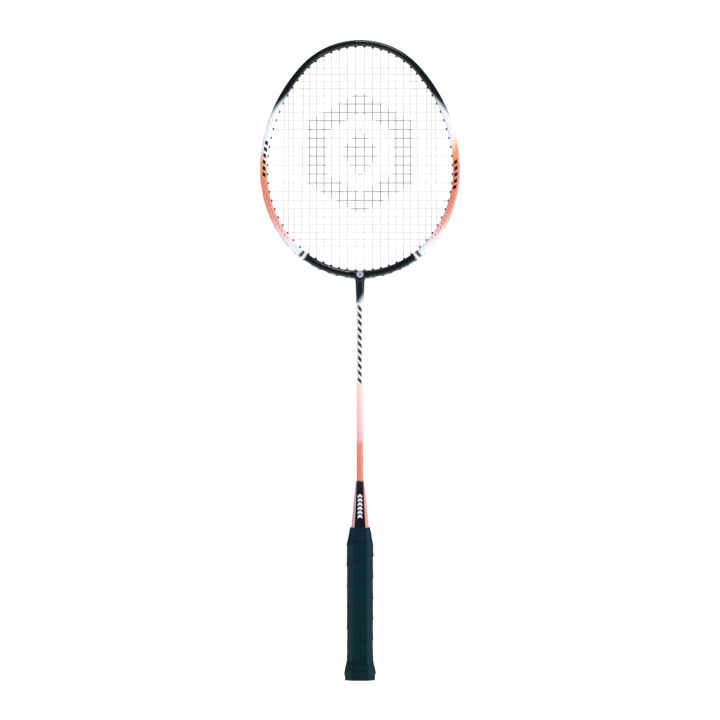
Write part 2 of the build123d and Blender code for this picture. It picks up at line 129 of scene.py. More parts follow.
class Field:
    """A number, place or colour that differs over a finish, from a node. Fields add up like numbers."""

    def __init__(self, finish, kind, sockets=None, output=0, **settings):
        self.finish = finish
        self.node = finish.node_tree.nodes.new("ShaderNode" + kind)
        for setting, value in settings.items():
            setattr(self.node, setting, value)
        connect(finish, self.node, sockets or {})
        self.output = self.node.outputs[output]

    def __add__(self, other):
        return maths("ADD", self, other)

    def __sub__(self, other):
        return maths("SUBTRACT", self, other)

    def __rsub__(self, other):
        return maths("SUBTRACT", other, self)

    def __mul__(self, other):
        return maths("MULTIPLY", self, other)

    def __truediv__(self, other):
        return maths("DIVIDE", self, other)

    def __abs__(self):
        return maths("ABSOLUTE", self)

    def __lt__(self, other):
        return maths("LESS_THAN", self, other)

    def __gt__(self, other):
        return maths("GREATER_THAN", self, other)


def finish_of(values):
    """The finish that the fields among some values belong to."""
    return next(value.finish for value in values if isinstance(value, Field))


def maths(operation, *values):
    return Field(finish_of(values), "Math", dict(enumerate(values)), operation=operation)


def spread(value, low, high, to_low=0.0, to_high=1.0, **settings):
    """A value that runs from to_low to to_high as another runs from low to high."""
    sockets = {"Value": value, "From Min": low, "From Max": high, "To Min": to_low, "To Max": to_high}
    return Field(value.finish, "MapRange", sockets, **settings)


def object_place(finish):
    """The place of each point on the object."""
    return Field(finish, "TexCoord", output="Object")


floor_shape = bmesh.new()
bmesh.ops.create_circle(floor_shape, cap_ends=True, segments=96, radius=1.4)
floor = new_piece("floor", floor_shape)
floor_paint = new_finish("floor paint", 0.8, {
    "Base Color": tint(246, 247, 247), "Specular IOR Level": 0.1, "Emission Color": (1.0, 1.0, 1.0, 1.0),
})
# The floor glows more the farther it is from the racket, so that it fades into the white sky
floor_distance = Field(floor_paint, "VectorMath", {0: object_place(floor_paint)}, "Value", operation="LENGTH")
finish_with(floor_paint, {"Emission Strength": spread(floor_distance, 0.1, 1.2, 0.7, 1.05)})
floor.data.materials.append(floor_paint)

sky = bpy.data.worlds.new("sky")
sky.use_nodes = True
scene.world = sky
sky_nodes = sky.node_tree.nodes
sky_links = sky.node_tree.links
lighting_sky = sky_nodes["Background"]
lighting_sky.inputs["Color"].default_value = (0.93, 0.97, 1.0, 1.0)
lighting_sky.inputs["Strength"].default_value = 0.13
seen_sky = sky_nodes.new("ShaderNodeBackground")
seen_sky.inputs["Color"].default_value = (1.0, 1.0, 1.0, 1.0)
seen_sky.inputs["Strength"].default_value = 1.1
sky_choice = sky_nodes.new("ShaderNodeMixShader")
sky_links.new(sky_nodes.new("ShaderNodeLightPath").outputs["Is Camera Ray"], sky_choice.inputs[0])
sky_links.new(lighting_sky.outputs[0], sky_choice.inputs[1])
sky_links.new(seen_sky.outputs[0], sky_choice.inputs[2])
sky_links.new(sky_choice.outputs[0], sky_nodes["World Output"].inputs["Surface"])


def soft_box(name, place, width, height, power, aim=(0.0, 0.0, racket_height / 2)):
    """A rectangular light that faces a point."""
    light = bpy.data.lights.new(name, "AREA")
    light.shape = "RECTANGLE"
    light.size = width
    light.size_y = height
    light.energy = power
    lamp = bpy.data.objects.new(name, light)
    lamp.location = place
    lamp.rotation_euler = (Vector(aim) - Vector(place)).to_track_quat("-Z", "Y").to_euler()
    scene.collection.objects.link(lamp)


soft_box("front light", (0.5, -2.6, 2.7), 1.2, 0.8, 60.0)
soft_box("right light", (2.6, -0.7, 0.7), 1.6, 2.2, 38.0)
soft_box("left light", (-2.6, -0.7, 0.6), 1.2, 2.0, 16.0)
soft_box("top light", (0.0, 0.5, 3.4), 2.0, 2.0, 42.0, aim=(0.0, 0.0, 0.0))

# ---- Hoop ----------------------------------------------------------------------------------------
# The head's hoop is a carbon-fibre tube bent to an egg shape, with a groove round its outside for
# the strings. Its lacquer fades from black at the crown through white to orange, pink and white,
# with a black bar, a white stripe and black again at the throat.
widest_height = 0.5372
upper_side_radius = 0.1636
lower_side_radius = 0.1208
hoop_half_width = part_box("head_frame")[1].x
rim_width = 0.007
upper_slant = 5.4  # climb of the colours' edges over the rim's width, under the crown
lower_slant = 2.2  # and its loss at the pink
orange_lift = 0.016  # of the orange's start on the right side
ragged_edge = 0.003
ink = tint(14, 20, 26)
fleck_pink = tint(188, 92, 96)


def parts_of(place):
    """The x, y and z of a place."""
    return [Field(place.finish, "SeparateXYZ", {0: place}, output) for output in ("X", "Y", "Z")]


def fade(value, low, high):
    """0 below low, 1 above high, and smooth between."""
    return spread(value, low, high, interpolation_type="SMOOTHSTEP")


def between(value, low, high, soft):
    """1 where a value lies between low and high, with edges that fade over soft."""
    return fade(value, low - soft, low + soft) * (1.0 - fade(value, high - soft, high + soft))


def stripes(value, per_metre, share):
    """1 on each stripe and 0 beside it, where the stripes fill a share of their pitch."""
    return maths("FRACT", value * per_metre) < share


def layer(amount, under, over, blend="MIX"):
    """One colour laid over another, as thick as amount."""
    sockets = {"Fac": amount, "Color1": under, "Color2": over}
    return Field(finish_of(sockets.values()), "MixRGB", sockets, blend_type=blend)


def grain(place, scale, detail=2.0):
    """Noise from 0 to 1, with scale cells in a metre."""
    return Field(place.finish, "TexNoise", {"Vector": place, "Scale": scale, "Detail": detail})


def relief(height, depth):
    """A bump whose highest point stands depth metres above its lowest."""
    return Field(height.finish, "Bump", {"Height": height, "Distance": depth, "Strength": 1.0})


def ramp(value, stops):
    """Colours along a value, from a list of each value and its colour."""
    low, high = stops[0][0], stops[-1][0]
    colours = Field(value.finish, "ValToRGB", {"Fac": spread(value, low, high)})
    points = colours.node.color_ramp.elements
    while len(points) < len(stops):
        points.new(0.5)
    for point, (at, colour) in zip(points, stops):
        point.position = (at - low) / (high - low)
        point.color = colour
    return colours


def refinish(node, finish):
    """Gives a CAD node a finish in place of its plain one."""
    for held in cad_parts[node].material_slots:
        held.material = finish


black_lacquer = tint(4, 17, 20)
clear_coat = {"Coat Weight": 0.5, "Coat Roughness": 0.06, "Specular IOR Level": 0.1}
hoop_lacquer = new_finish("hoop lacquer", 0.34, clear_coat)
place = object_place(hoop_lacquer)
x, _, z = parts_of(place)
rise = z - widest_height
side_radius = (rise > 0.0) * (upper_side_radius - lower_side_radius) + lower_side_radius
out_x = abs(x) - (hoop_half_width - side_radius)
distance = maths("SQRT", out_x * out_x + rise * rise)
# How far inwards a point lies from the hoop's outer edge, and the height of the rim's middle beside it
inwards = side_radius - distance
rim_z = (side_radius - rim_width / 2) * (rise / distance) + widest_height
right_side = x > 0.0
steepness = fade(rim_z, 0.568, 0.594) * upper_slant - fade(rim_z, 0.470, 0.530) * lower_slant
lift = right_side * between(z, 0.530, 0.583, 0.008) * orange_lift
ragged = (grain(place, 900.0, 3.0) - 0.5) * ragged_edge
along = rim_z + (rim_width / 2 - inwards) * steepness - lift + ragged
lacquer = ramp(along, [
    (0.4240, black_lacquer),
    (0.4460, black_lacquer),
    (0.4463, tint(226, 232, 233)),
    (0.4477, tint(226, 232, 233)),
    (0.4480, black_lacquer),
    (0.4499, black_lacquer),
    (0.4502, tint(216, 225, 227)),
    (0.4590, tint(230, 230, 234)),
    (0.4650, tint(234, 212, 224)),
    (0.4740, tint(240, 190, 192)),
    (0.4860, tint(230, 160, 154)),
    (0.5060, tint(222, 138, 122)),
    (0.5240, tint(224, 130, 104)),
    (0.5380, tint(232, 146, 110)),
    (0.5460, tint(238, 184, 150)),
    (0.5520, tint(236, 222, 212)),
    (0.5580, tint(234, 236, 239)),
    (0.5990, tint(232, 235, 240)),
    (0.6060, tint(168, 176, 186)),
    (0.6120, tint(44, 56, 66)),
    (0.6170, black_lacquer),
    (0.6750, black_lacquer),
])
# Black bars on the inner half of the white zones, and small darker flecks down the pink
flecks = stripes(rim_z - inwards * 0.8, 260.0, 0.4) * between(inwards, 0.0030, 0.0048, 0.0004)
flecks = flecks * between(rim_z, 0.466, 0.512, 0.004) * 0.75
bar_place = rim_z + inwards * 0.6
left_bars = between(bar_place, 0.5329, 0.5729, 0.0002) * (1.0 - right_side)
right_bars = between(bar_place, 0.5196, 0.5529, 0.0002) * right_side
bars = stripes(bar_place, 150.0, 0.6) * between(inwards, 0.0024, 0.0058, 0.0002) * (left_bars + right_bars)
finish_with(hoop_lacquer, {
    "Base Color": layer(bars, layer(flecks, lacquer, fleck_pink), ink),
    "Normal": relief(grain(place, 260.0), 0.00004),
})
refinish("head_frame", hoop_lacquer)

# ---- Throat joint --------------------------------------------------------------------------------
# A moulded saddle is bonded between the hoop's two ends, by tongues inside them. Its stem is the
# socket for the shaft. It is lacquered black, with a little blue in it down the stem, and fades at a
# slant to the shaft's white at its lower end.
stem_white = tint(206, 212, 224)
joint_lacquer = new_finish("joint lacquer", 0.34, {**clear_coat, "Coat Weight": 0.28})
place = object_place(joint_lacquer)
x, _, z = parts_of(place)
stem_blue = ramp(z, [(0.396, tint(16, 26, 44)), (0.418, tint(10, 22, 36)), (0.428, black_lacquer)])
speckled = layer(0.25, stem_blue, layer(grain(place, 1500.0), stem_blue, tint(24, 34, 46)))
above_fade = fade(z - x * 1.3, 0.3945, 0.4060)
finish_with(joint_lacquer, {
    "Base Color": layer(above_fade, stem_white, speckled),
    "Normal": relief(grain(place, 300.0), 0.00004),
})
refinish("throat_joint", joint_lacquer)

# ---- Badge ---------------------------------------------------------------------------------------
# A small resin dome is glued in a round seat on the joint's front. It is silver-white, with a plain
# raised ring and a lozenge printed on it.
badge_low, badge_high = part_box("throat_badge")
badge_middle = Vector(((badge_low.x + badge_high.x) / 2, badge_high.y, (badge_low.z + badge_high.z) / 2))
badge_radius = (badge_high.x - badge_low.x) / 2
badge_side = badge_high.y - badge_low.y - 0.0002  # height of its edge, below the dome
badge_levels = [  # how far in and how far up each ring of the dome and its raised rim goes
    (0.00012, 0.00014), (0.00045, 0.00006), (0.0001, -0.00008),
    (0.0006, 0.0), (0.0001, 0.00008), (0.0008, 0.0),
]


def added(made, kind):
    """The corners, edges or faces that an operator made."""
    return [item for item in made["geom"] if isinstance(item, kind)]


badge_shape = bmesh.new()
bmesh.ops.create_circle(badge_shape, cap_ends=True, segments=48, radius=badge_radius)
extruded = bmesh.ops.extrude_face_region(badge_shape, geom=list(badge_shape.faces))
bmesh.ops.translate(badge_shape, vec=(0, 0, badge_side), verts=added(extruded, bmesh.types.BMVert))
dome = added(extruded, bmesh.types.BMFace)[0]
bmesh.ops.recalc_face_normals(badge_shape, faces=badge_shape.faces)
for step_in, step_up in badge_levels:
    bmesh.ops.inset_region(badge_shape, faces=[dome], thickness=step_in, depth=step_up, use_even_offset=True)
bmesh.ops.recalc_face_normals(badge_shape, faces=badge_shape.faces)
to_its_seat = Matrix.Translation(badge_middle) @ Matrix.Rotation(radians(90), 4, "X")
bmesh.ops.transform(badge_shape, matrix=to_its_seat, verts=badge_shape.verts)
badge = new_piece("badge", badge_shape)
badge_resin = new_finish("badge resin", 0.3, {"Metallic": 0.3, "Coat Weight": 0.6, "Coat Roughness": 0.05})
place = object_place(badge_resin)
x, _, z = parts_of(place)
lozenge = between(abs(x) * 1.3 + abs(z - badge_middle.z), 0.0009, 0.0019, 0.0001)
silver = layer(grain(place, 2400.0), tint(174, 178, 204), tint(206, 208, 228))
finish_with(badge_resin, {"Base Color": layer(lozenge, silver, tint(52, 58, 96))})
badge.data.materials.append(badge_resin)
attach(badge, "root")
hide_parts("throat_badge")

# ---- Shaft ---------------------------------------------------------------------------------------
# A slim carbon-fibre tube, glued in the throat joint and deep in the handle. Its lacquer runs from
# white under the joint through pale pink to orange at the cone, with small printed bars.
shaft_lacquer = new_finish("shaft lacquer", 0.34, {**clear_coat, "Specular IOR Level": 0.4})
place = object_place(shaft_lacquer)
x, _, z = parts_of(place)
shaft_colour = ramp(z, [
    (0.2090, tint(206, 122, 106)),
    (0.2300, tint(210, 126, 106)),
    (0.2480, tint(216, 134, 114)),
    (0.2540, tint(232, 172, 172)),
    (0.2750, tint(238, 190, 194)),
    (0.3000, tint(238, 200, 190)),
    (0.3110, tint(238, 206, 186)),
    (0.3125, tint(230, 230, 234)),
    (0.4000, tint(218, 221, 228)),
])
first_bar = 0.3135
bar_pitch = 0.0076
slanted = z + x * 1.1
printed = (abs(x + 0.0002) < 0.0020) * stripes(slanted - first_bar, 1 / bar_pitch, 0.55)
printed = printed * between(slanted, 0.3132, 0.3942, 0.0002)
shaft_print = layer(printed, shaft_colour, tint(24, 28, 36))
finish_with(shaft_lacquer, {
    "Base Color": layer(0.18, shaft_print, grain(place, 1300.0), "OVERLAY"),
    "Normal": relief(grain(place, 320.0), 0.00003),
})
refinish("shaft", shaft_lacquer)

# ---- Handle core and its staple --------------------------------------------------------------------
# The handle is a light wooden octagon that flares at the butt. It is bored for the shaft and hollow
# below it. One wire staple holds the tape's first turn on its back.
core_wood = new_finish("core wood", 0.62)


def stretched(place, across, up):
    """A place with its own scale across the handle and up it."""
    return Field(place.finish, "Mapping", {"Vector": place, "Scale": (across, across, up)})


figure = grain(stretched(object_place(core_wood), 420.0, 26.0), 1.0, 4.0)
finish_with(core_wood, {
    "Base Color": layer(figure, tint(196, 158, 112), tint(226, 196, 152)),
    "Normal": relief(figure, 0.0001),
})
refinish("handle_core", core_wood)

staple_wire = new_finish("staple wire", 0.3, {"Metallic": 1.0})
drawn = grain(object_place(staple_wire), 3000.0)
finish_with(staple_wire, {"Base Color": layer(drawn, tint(150, 150, 152), tint(196, 196, 200))})
refinish("grip_staple", staple_wire)

# ---- Cone ----------------------------------------------------------------------------------------
# A moulded cone closes the handle's top and carries the shaft's last stretch. It is an octagon that
# tapers to the shaft, black on its front and back and pale pink to orange down its sides.
cone_low, cone_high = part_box("cone_cap")
shaft_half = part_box("shaft")[1].x
grip_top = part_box("grip_tape")[1].z
cone_foot = grip_top - 0.010  # hidden under the tape
cone_middle = 0.185
cone_lip = 0.0006  # height of the rounded edge at the top
bore_gap = 0.00005
depth_share = (cone_high.y - cone_low.y) / (cone_high.x - cone_low.x)
cone_sections = [  # height, half width, half depth, bevel and edge radius
    (cone_foot, 0.01145, 0.01145 * depth_share, 0.0041, 0.0006),
    (grip_top, 0.00915, 0.00915 * depth_share, 0.0033, 0.0006),
    (cone_middle, 0.0072, 0.0072 * depth_share, 0.0026, 0.0006),
    (cone_high.z - cone_lip, 0.0044, 0.0044, 0.0009, 0.0005),
    (cone_high.z - cone_lip * 0.3, 0.0042, 0.0042, 0.0008, 0.0005),
    (cone_high.z, 0.0038, 0.0038, 0.0008, 0.0005),
]
edge_steps = 4  # in the turn of each rounded corner
loop_steps = 8 * (edge_steps + 1)


def edges_of(corners):
    """The edges at some corners, each once, in a fixed order."""
    return list(dict.fromkeys(edge for corner in corners for edge in corner.link_edges))


def round_loop(shape, radius, height=0.0):
    """A circle of edges, and its corners."""
    at_height = Matrix.Translation((0, 0, height))
    corners = bmesh.ops.create_circle(shape, segments=loop_steps, radius=radius, matrix=at_height)["verts"]
    return edges_of(corners), corners


def octagon_loop(shape, height, half_width, half_depth, bevel, edge_radius):
    """An octagon with rounded corners, as a closed loop of edges."""
    edges, corners = round_loop(shape, 1.0)
    corners.sort(key=lambda corner: atan2(corner.co.y, corner.co.x) % tau)
    short_of = bevel + edge_radius * (sqrt(2) - 1)
    for place_in_loop, corner in enumerate(corners):
        number, step = divmod(place_in_loop, edge_steps + 1)
        turn = tau / 8 * (number + step / edge_steps)
        on_side_facet = number in (0, 3, 4, 7)
        right = 1 if number in (0, 1, 6, 7) else -1
        back = 1 if number < 4 else -1
        across = half_width - (edge_radius if on_side_facet else short_of)
        deep = half_depth - (short_of if on_side_facet else edge_radius)
        corner.co = (right * across + edge_radius * cos(turn), back * deep + edge_radius * sin(turn), height)
    return edges


def octagon_shell(sections):
    """Octagons joined one above another, and the loops of edges round them."""
    shape = bmesh.new()
    loops = [octagon_loop(shape, *section) for section in sections]
    for lower, upper in zip(loops, loops[1:]):
        bmesh.ops.bridge_loops(shape, edges=lower + upper)
    return shape, loops


cone_shape, cone_loops = octagon_shell(cone_sections)
lip = bmesh.ops.extrude_edge_only(cone_shape, edges=cone_loops[-1])
for corner in added(lip, bmesh.types.BMVert):
    corner.co.xy = corner.co.xy.normalized() * (shaft_half + bore_gap)
bore = bmesh.ops.extrude_edge_only(cone_shape, edges=added(lip, bmesh.types.BMEdge))
bore_end = added(bore, bmesh.types.BMVert)
bmesh.ops.translate(cone_shape, vec=(0, 0, cone_foot - cone_high.z), verts=bore_end)
bmesh.ops.bridge_loops(cone_shape, edges=cone_loops[0] + added(bore, bmesh.types.BMEdge))
bmesh.ops.recalc_face_normals(cone_shape, faces=cone_shape.faces)
cone = new_piece("cone", cone_shape)
cone.data.shade_smooth()
cone_paint = new_finish("cone paint", 0.36, {
    "Coat Weight": 0.22, "Coat Roughness": 0.1, "Specular IOR Level": 0.12,
})
place = object_place(cone_paint)
x, _, z = parts_of(place)
# The black panels are as wide as the cone's flats
flat_low, flat_middle, flat_high = (half_width - bevel for _, half_width, _, bevel, _ in cone_sections[1:4])
panel_half = spread(z, grip_top, cone_middle, flat_low, flat_middle)
panel_half = panel_half + spread(z, cone_middle, cone_high.z, 0.0, flat_high - flat_middle)
# Both sides run from pale pink to orange, as the paint does; the right side is painted a lighter, more orange
# tone than the left, which is painted light from the right
left_colour = ramp(z, [
    (0.160, tint(196, 158, 166)),
    (0.190, tint(194, 160, 176)),
    (0.210, tint(176, 136, 150)),
])
painted_lit_right_colour = ramp(z, [
    (0.160, tint(220, 158, 130)),
    (0.174, tint(214, 144, 127)),
    (0.192, tint(210, 151, 151)),
    (0.210, tint(190, 137, 147)),
])
streaks = fade(grain(stretched(place, 900.0, 40.0), 1.0), 0.56, 0.7) * 0.35
side_colour = layer(streaks, layer(x > 0.0, left_colour, painted_lit_right_colour), tint(160, 104, 100))
chevron_place = z + abs(x) * 0.8
chevrons = stripes(chevron_place, 232.0, 0.56) * between(chevron_place, 0.1722, 0.1981, 0.0001)
chevrons = chevrons * (abs(x) < 0.0023)
panel = layer(grain(place, 1600.0), tint(10, 9, 18), tint(19, 18, 29))
panel = layer(chevrons, panel, tint(228, 228, 240))
finish_with(cone_paint, {
    "Base Color": layer(abs(x) < panel_half, side_colour, panel),
    "Normal": relief(grain(place, 700.0), 0.00003),
})
cone.data.materials.append(cone_paint)
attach(cone, "root")
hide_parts("cone_cap")

# ---- Butt cap ------------------------------------------------------------------------------------
# A moulded cap closes the butt. It is an octagon with rounded edges, with a shallow round recess in
# its end that holds a plain raised disc.
cap_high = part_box("butt_cap")[1]
cap_top = 0.0046
cap_edge = 0.0012
cap_bevel = 0.0076
cap_corner_radius = 0.0022
cap_levels = [  # height, and how far inside the cap's widest outline
    (0.0, cap_edge), (0.13 * cap_edge, 0.5 * cap_edge), (0.5 * cap_edge, 0.13 * cap_edge), (cap_edge, 0.0),
    (cap_top - 0.0004, 0.0), (cap_top - 0.0001, 0.0001), (cap_top, 0.0004),
]
recess_levels = [(0.0090, 0.0), (0.0088, 0.0006), (0.0050, 0.0006), (0.0048, 0.0002)]  # radius and height


def cap_section(height, inset):
    """The cap's outline at a height, as octagon_loop takes it."""
    bevel = cap_bevel - inset * (2 - sqrt(2))
    return height, cap_high.x - inset, cap_high.y - inset, bevel, cap_corner_radius - inset


cap_shape, cap_loops = octagon_shell([cap_section(*level) for level in cap_levels])
bmesh.ops.edgenet_fill(cap_shape, edges=cap_loops[-1])
# The end face, its recess and the disc's side are circles joined one inside another
outer_edges = cap_loops[0]
for recess_radius, recess_height in recess_levels:
    ring_edges, _ = round_loop(cap_shape, recess_radius, recess_height)
    bmesh.ops.bridge_loops(cap_shape, edges=outer_edges + ring_edges)
    outer_edges = ring_edges
bmesh.ops.edgenet_fill(cap_shape, edges=outer_edges)
bmesh.ops.recalc_face_normals(cap_shape, faces=cap_shape.faces)
butt = new_piece("butt", cap_shape)
sea_sheen = (0.2, 0.8, 1.0, 1.0)
cap_moulding = new_finish("cap moulding", 0.5, {"Specular IOR Level": 0.22, "Specular Tint": sea_sheen})
place = object_place(cap_moulding)
finish_with(cap_moulding, {
    "Base Color": layer(grain(place, 500.0, 4.0), tint(3, 14, 18), tint(8, 24, 30)),
    "Normal": relief(grain(place, 2600.0), 0.00006),
})
butt.data.materials.append(cap_moulding)
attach(butt, "root")
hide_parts("butt_cap")

# ---- Grip tape -----------------------------------------------------------------------------------
# A soft polyurethane strip is wound up the handle from the butt, each turn lapping the one below,
# and ends level round the cone. Its colour is a deep sea blue, and rows of small holes are punched
# in it.
tape_width = 0.026
tape_pitch = 0.0225
tape_turns = 9
tape_length = 0.78975  # of all its turns
tape_start = -0.7  # the turn that the strip starts at, below the butt, where it is cut off level
tape_foot = 0.004  # how far below the sleeve the strip starts
tape_tuck = 1.2  # turns over which the pitch opens out at the butt
tape_thickness = 0.0012
lap_lift = 0.00055
lap_squeeze = 0.11  # how far the rows of corners are drawn to the strip's two edges
edge_width = 0.0006  # of the strip's rounded edges, and their depth
edge_depth = 0.00035
strip_rows = 30
turn_steps = 96
end_gap = 0.0002
tape_low, tape_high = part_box("grip_tape")
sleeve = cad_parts["grip_tape"].data
sleeve_corners = [corner.co for corner in sleeve.vertices]
sleeve_surface = BVHTree.FromPolygons(sleeve_corners, [polygon.vertices for polygon in sleeve.polygons])


def sleeve_radius(angle, height):
    """The sleeve's outer radius, eased a little over its corners."""
    height = min(max(height, tape_low.z + end_gap), tape_high.z - end_gap)
    total = 0.0
    eased_over = (-5.0, -2.5, 0.0, 2.5, 5.0)
    for turn in eased_over:
        out = Vector((cos(angle + radians(turn)), sin(angle + radians(turn)), 0.0))
        hit = sleeve_surface.ray_cast(Vector((0, 0, height)) + out * 0.03, -out)[0]
        total += Vector((hit.x, hit.y)).length
    return total / len(eased_over)


def wound(along_strip, across_strip):
    """Where a point of the strip lies, from its share along and across, both from 0 to 1."""
    turns = tape_turns * along_strip + tape_start
    angle = tau * turns
    climb = tape_pitch * (turns - tape_tuck * (1 - exp(-turns / tape_tuck)))
    squeezed = across_strip - lap_squeeze * sin(tau * across_strip)
    height = tape_low.z - tape_foot + climb + tape_width * squeezed
    from_edge = min(across_strip, 1 - across_strip) * tape_width
    rounding = max(0.0, 1 - from_edge / edge_width) ** 2 * edge_depth
    wander = 0.0001 * sin(angle * 1.7 + 2.0) + 0.00006 * sin(angle * 4.3)
    lift = lap_lift * (1 - across_strip) ** 3 - 0.0002
    radius = sleeve_radius(angle, height) + lift - rounding + wander
    return Vector((radius * cos(angle), radius * sin(angle), height))


tape_shape = bmesh.new()
tape_shape.loops.layers.uv.new("strip")
bmesh.ops.create_grid(
    tape_shape, x_segments=turn_steps * tape_turns, y_segments=strip_rows, size=0.5, calc_uvs=True
)
for corner in tape_shape.verts:
    corner.co = wound(corner.co.x + 0.5, corner.co.y + 0.5)
for limit, outward in ((tape_high.z, 1), (tape_low.z, -1)):
    strip = list(tape_shape.verts) + list(tape_shape.edges) + list(tape_shape.faces)
    bmesh.ops.bisect_plane(
        tape_shape, geom=strip, plane_co=(0, 0, limit), plane_no=(0, 0, outward), clear_outer=True
    )
strip_faces = list(tape_shape.faces)
bmesh.ops.recalc_face_normals(tape_shape, faces=strip_faces)
if sum(face.normal.dot(Vector((*face.calc_center_median().xy, 0))) for face in strip_faces) < 0:
    bmesh.ops.reverse_faces(tape_shape, faces=strip_faces)
strip = list(tape_shape.verts) + list(tape_shape.edges) + strip_faces
bmesh.ops.solidify(tape_shape, geom=strip, thickness=tape_thickness)
tape = new_piece("grip_wrap", tape_shape)
tape.data.shade_smooth()
tape_skin = new_finish("grip skin", 0.4, {"Specular IOR Level": 0.22, "Specular Tint": sea_sheen})
place = object_place(tape_skin)
_, _, z = parts_of(place)
skin_colour = ramp(z, [
    (0.004, tint(4, 18, 22)), (0.060, tint(3, 17, 20)), (0.120, tint(5, 20, 30)), (0.161, tint(5, 19, 30)),
])
skin_colour = layer(grain(place, 90.0, 3.0) * 0.5, skin_colour, tint(9, 32, 44))
strip_place = Field(tape_skin, "TexCoord", output="UV")
strip_metres = Field(tape_skin, "Mapping", {"Vector": strip_place, "Scale": (tape_length, tape_width, 1.0)})
from_pore = Field(tape_skin, "TexVoronoi", {"Vector": strip_metres, "Scale": 300.0, "Randomness": 0.0})
pores = 1.0 - fade(from_pore, 0.10, 0.17)
# The holes are also painted darker than the skin around them: painted shade inside each hole
finish_with(tape_skin, {
    "Base Color": layer(pores * 0.55, skin_colour, tint(3, 12, 16)),
    "Normal": relief(grain(place, 1700.0, 3.0) * 0.35 - pores, 0.00012),
})
tape.data.materials.append(tape_skin)
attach(tape, "root")
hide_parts("grip_tape")

# ---- Grommets ------------------------------------------------------------------------------------
# A black nylon barrel with a flange lines each of the string holes, so that the string doesn't cut
# into the hoop. Each barrel stands out a little inside the hoop.
grommet_nylon = new_finish("grommet nylon", 0.42, {"Specular IOR Level": 0.3})
place = object_place(grommet_nylon)
finish_with(grommet_nylon, {
    "Base Color": layer(grain(place, 1400.0), tint(12, 14, 16), tint(30, 34, 36)),
    "Normal": relief(grain(place, 3000.0), 0.00003),
})
for group in ("grommets_crown", "grommets_left", "grommets_right", "grommets_base", "grommets_throat"):
    refinish(group, grommet_nylon)

# ---- Strings -------------------------------------------------------------------------------------
# Two lengths of nylon string are threaded to and fro through the grommets: one makes all the runs
# along the racket, and one all the runs across, woven over and under the first. A plain hexagon and
# a lozenge are stencilled on the bed in dark ink.
weave_height = 0.00037  # how far a string stands from the middle plane where it crosses another
shortest_run = 0.08
run_gap = 0.004  # the least distance between two runs
widest_off = 0.0007  # from a run's line, for a corner that belongs to it
same_corner = 1e-6


def merged_copy(node):
    """A copy of a CAD node's mesh, with its corners merged."""
    shape = bmesh.new()
    shape.from_mesh(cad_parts[node].data)
    bmesh.ops.remove_doubles(shape, verts=shape.verts, dist=same_corner)
    return shape


def runs_of(node, along_z):
    """The straight runs of a CAD string, as their two ends, in order across the bed."""
    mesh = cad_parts[node].data

    def place_across(ends):
        return ends[0].x + ends[1].x if along_z else ends[0].z + ends[1].z

    def mean_end(group, end):
        return sum((ends[end] for ends in group), Vector()) / len(group)

    long_edges = []
    for edge in mesh.edges:
        ends = [mesh.vertices[number].co for number in edge.vertices]
        ends.sort(key=lambda end: end.z if along_z else end.x)
        if (ends[1] - ends[0]).length > shortest_run:
            long_edges.append(ends)
    long_edges.sort(key=place_across)
    groups = [[long_edges[0]]]
    for before, ends in zip(long_edges, long_edges[1:]):
        if place_across(ends) - place_across(before) > run_gap:
            groups.append([])
        groups[-1].append(ends)
    return [(mean_end(group, 0), mean_end(group, 1)) for group in groups]


main_runs = runs_of("main_string", True)
cross_runs = runs_of("cross_string", False)
cross_heights = [start.z for start, _ in cross_runs]


def main_x(run, height):
    """Where a main is at a height."""
    start, end = run
    return start.x + (end.x - start.x) * (height - start.z) / (end.z - start.z)


def crossings_of(number, along_z):
    """Where a run meets the other string's runs, and on which side of each it passes, 1 or -1."""
    if along_z:
        start, end = main_runs[number]
        places = [(height, other) for other, height in enumerate(cross_heights) if start.z < height < end.z]
    else:
        start, end = cross_runs[number]
        places = [(main_x(run, start.z), other) for other, run in enumerate(main_runs)]
        places = [(x, other) for x, other in places if start.x < x < end.x]
    side = 1 if along_z else -1
    return [at for at, _ in places], [side if (number + other) % 2 else -side for _, other in places]


def weave_level(along, low, high, lane, places, sides):
    """How far from the middle plane a run is at a point, from its crossings and its lane at both ends."""
    after = bisect_right(places, along)
    if 0 < after < len(places):
        share = (along - places[after - 1]) / (places[after] - places[after - 1])
        return weave_height * sides[after - 1] * cos(pi * share)
    crossing, end = (0, low) if after == 0 else (-1, high)
    share = (along - places[crossing]) / (end - places[crossing])
    ease = share * share * (3 - 2 * share)
    return weave_height * sides[crossing] * (1 - ease) + lane * ease


def woven(node, along_z, cuts):
    """A copy of a CAD string whose straight runs pass over and under the other string's."""
    shape = merged_copy(node)
    bmesh.ops.recalc_face_normals(shape, faces=shape.faces)
    bmesh.ops.join_triangles(
        shape, faces=shape.faces, angle_face_threshold=radians(1), angle_shape_threshold=pi
    )
    long_edges = [edge for edge in shape.edges if edge.calc_length() > shortest_run]
    bmesh.ops.subdivide_edges(shape, edges=long_edges, cuts=cuts, use_grid_fill=True)
    own_runs = main_runs if along_z else cross_runs
    lane = (own_runs[0][0].y + own_runs[0][1].y) / 2
    crossings = [crossings_of(number, along_z) for number in range(len(own_runs))]
    for corner in shape.verts:
        if along_z:
            along, off = corner.co.z, [abs(corner.co.x - main_x(run, corner.co.z)) for run in own_runs]
        else:
            along, off = corner.co.x, [abs(corner.co.z - height) for height in cross_heights]
        number = off.index(min(off))
        start, end = own_runs[number]
        low, high = (start.z, end.z) if along_z else (start.x, end.x)
        if off[number] < widest_off and low < along < high:
            corner.co.y += weave_level(along, low, high, lane, *crossings[number]) - lane
    return shape


